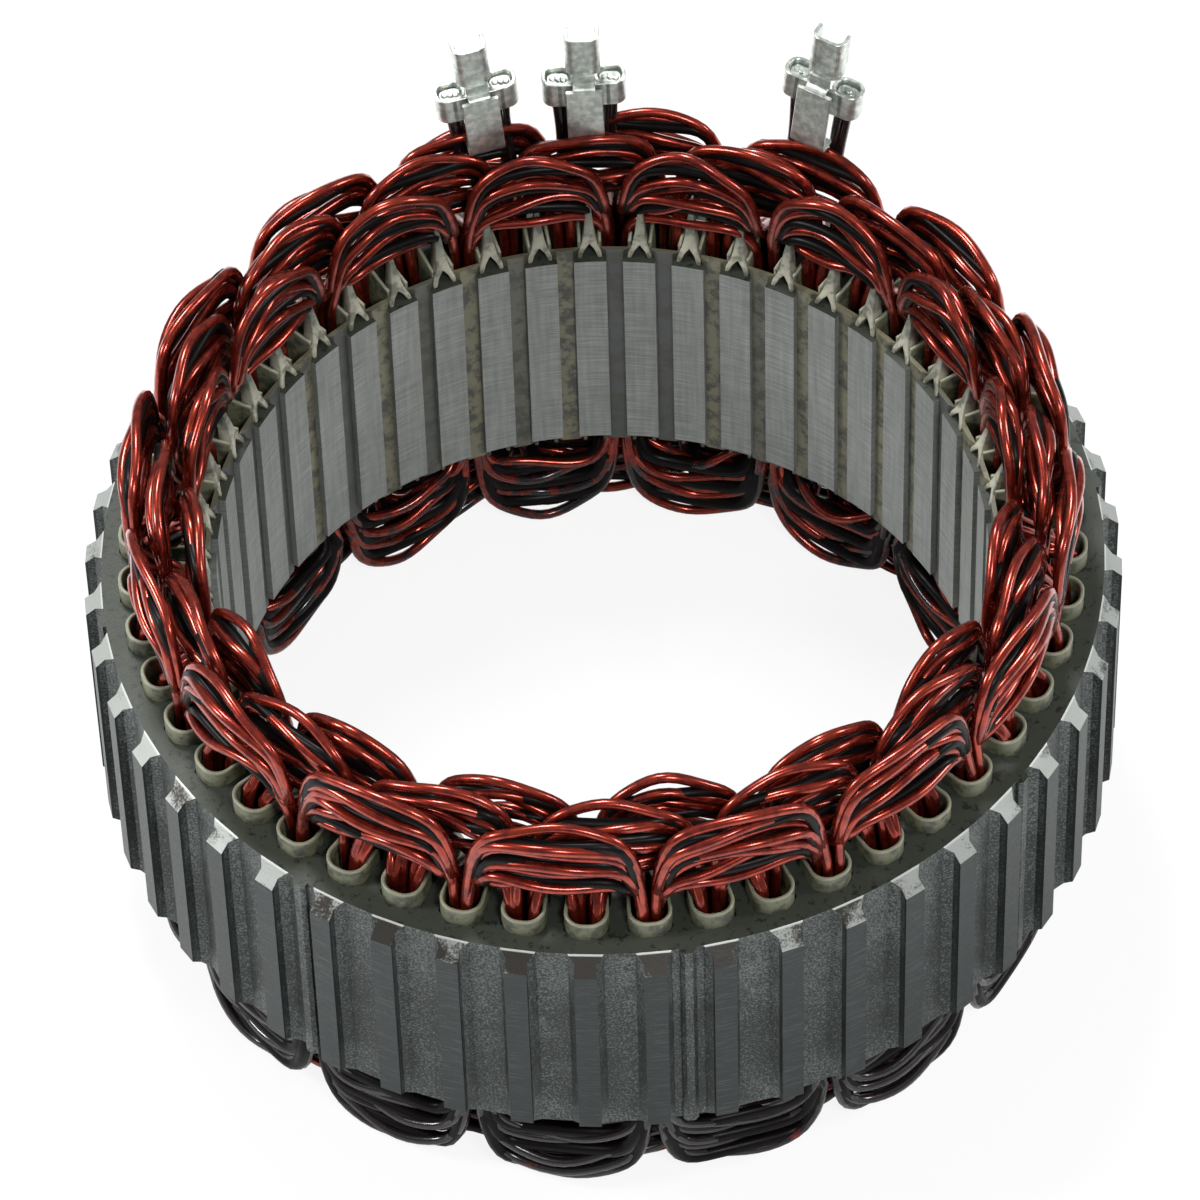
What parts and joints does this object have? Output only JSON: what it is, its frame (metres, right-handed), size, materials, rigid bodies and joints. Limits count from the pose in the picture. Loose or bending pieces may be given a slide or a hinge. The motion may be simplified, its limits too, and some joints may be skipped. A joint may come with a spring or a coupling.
{
  "type": "wound stator",
  "caption": "Wound three-phase alternator stator: a slotted lamination stack with slot liners, closers, three-phase winding and three folded terminals.",
  "frame": {"origin": "on the stack's axis, at the lowest point of the lower winding head", "axes": "+Z along the stack's axis towards the terminals; -Y through the middle of slot 0"},
  "size_m": [0.15, 0.15, 0.1033],
  "materials": {
    "stack_steel": "satin",
    "liner_sheet": "matte",
    "closer_strip": "matte",
    "enamelled_wire": "gloss",
    "tinned_strip": "satin",
    "varnished_lead": "satin"
  },
  "bodies": {
    "root": {"lamination_stack": "stack_steel", "slot_liners": "liner_sheet", "slot_closers": "closer_strip", "phase_winding_a": "enamelled_wire", "phase_winding_b": "enamelled_wire", "phase_winding_c": "enamelled_wire", "terminal_1": "tinned_strip", "terminal_2": "tinned_strip", "terminal_3": "tinned_strip", "lead_1_left": "varnished_lead", "lead_1_right": "varnished_lead", "lead_2_left": "varnished_lead", "lead_2_right": "varnished_lead", "lead_3_left": "varnished_lead", "lead_3_right": "varnished_lead"}
  },
  "joints": []
}
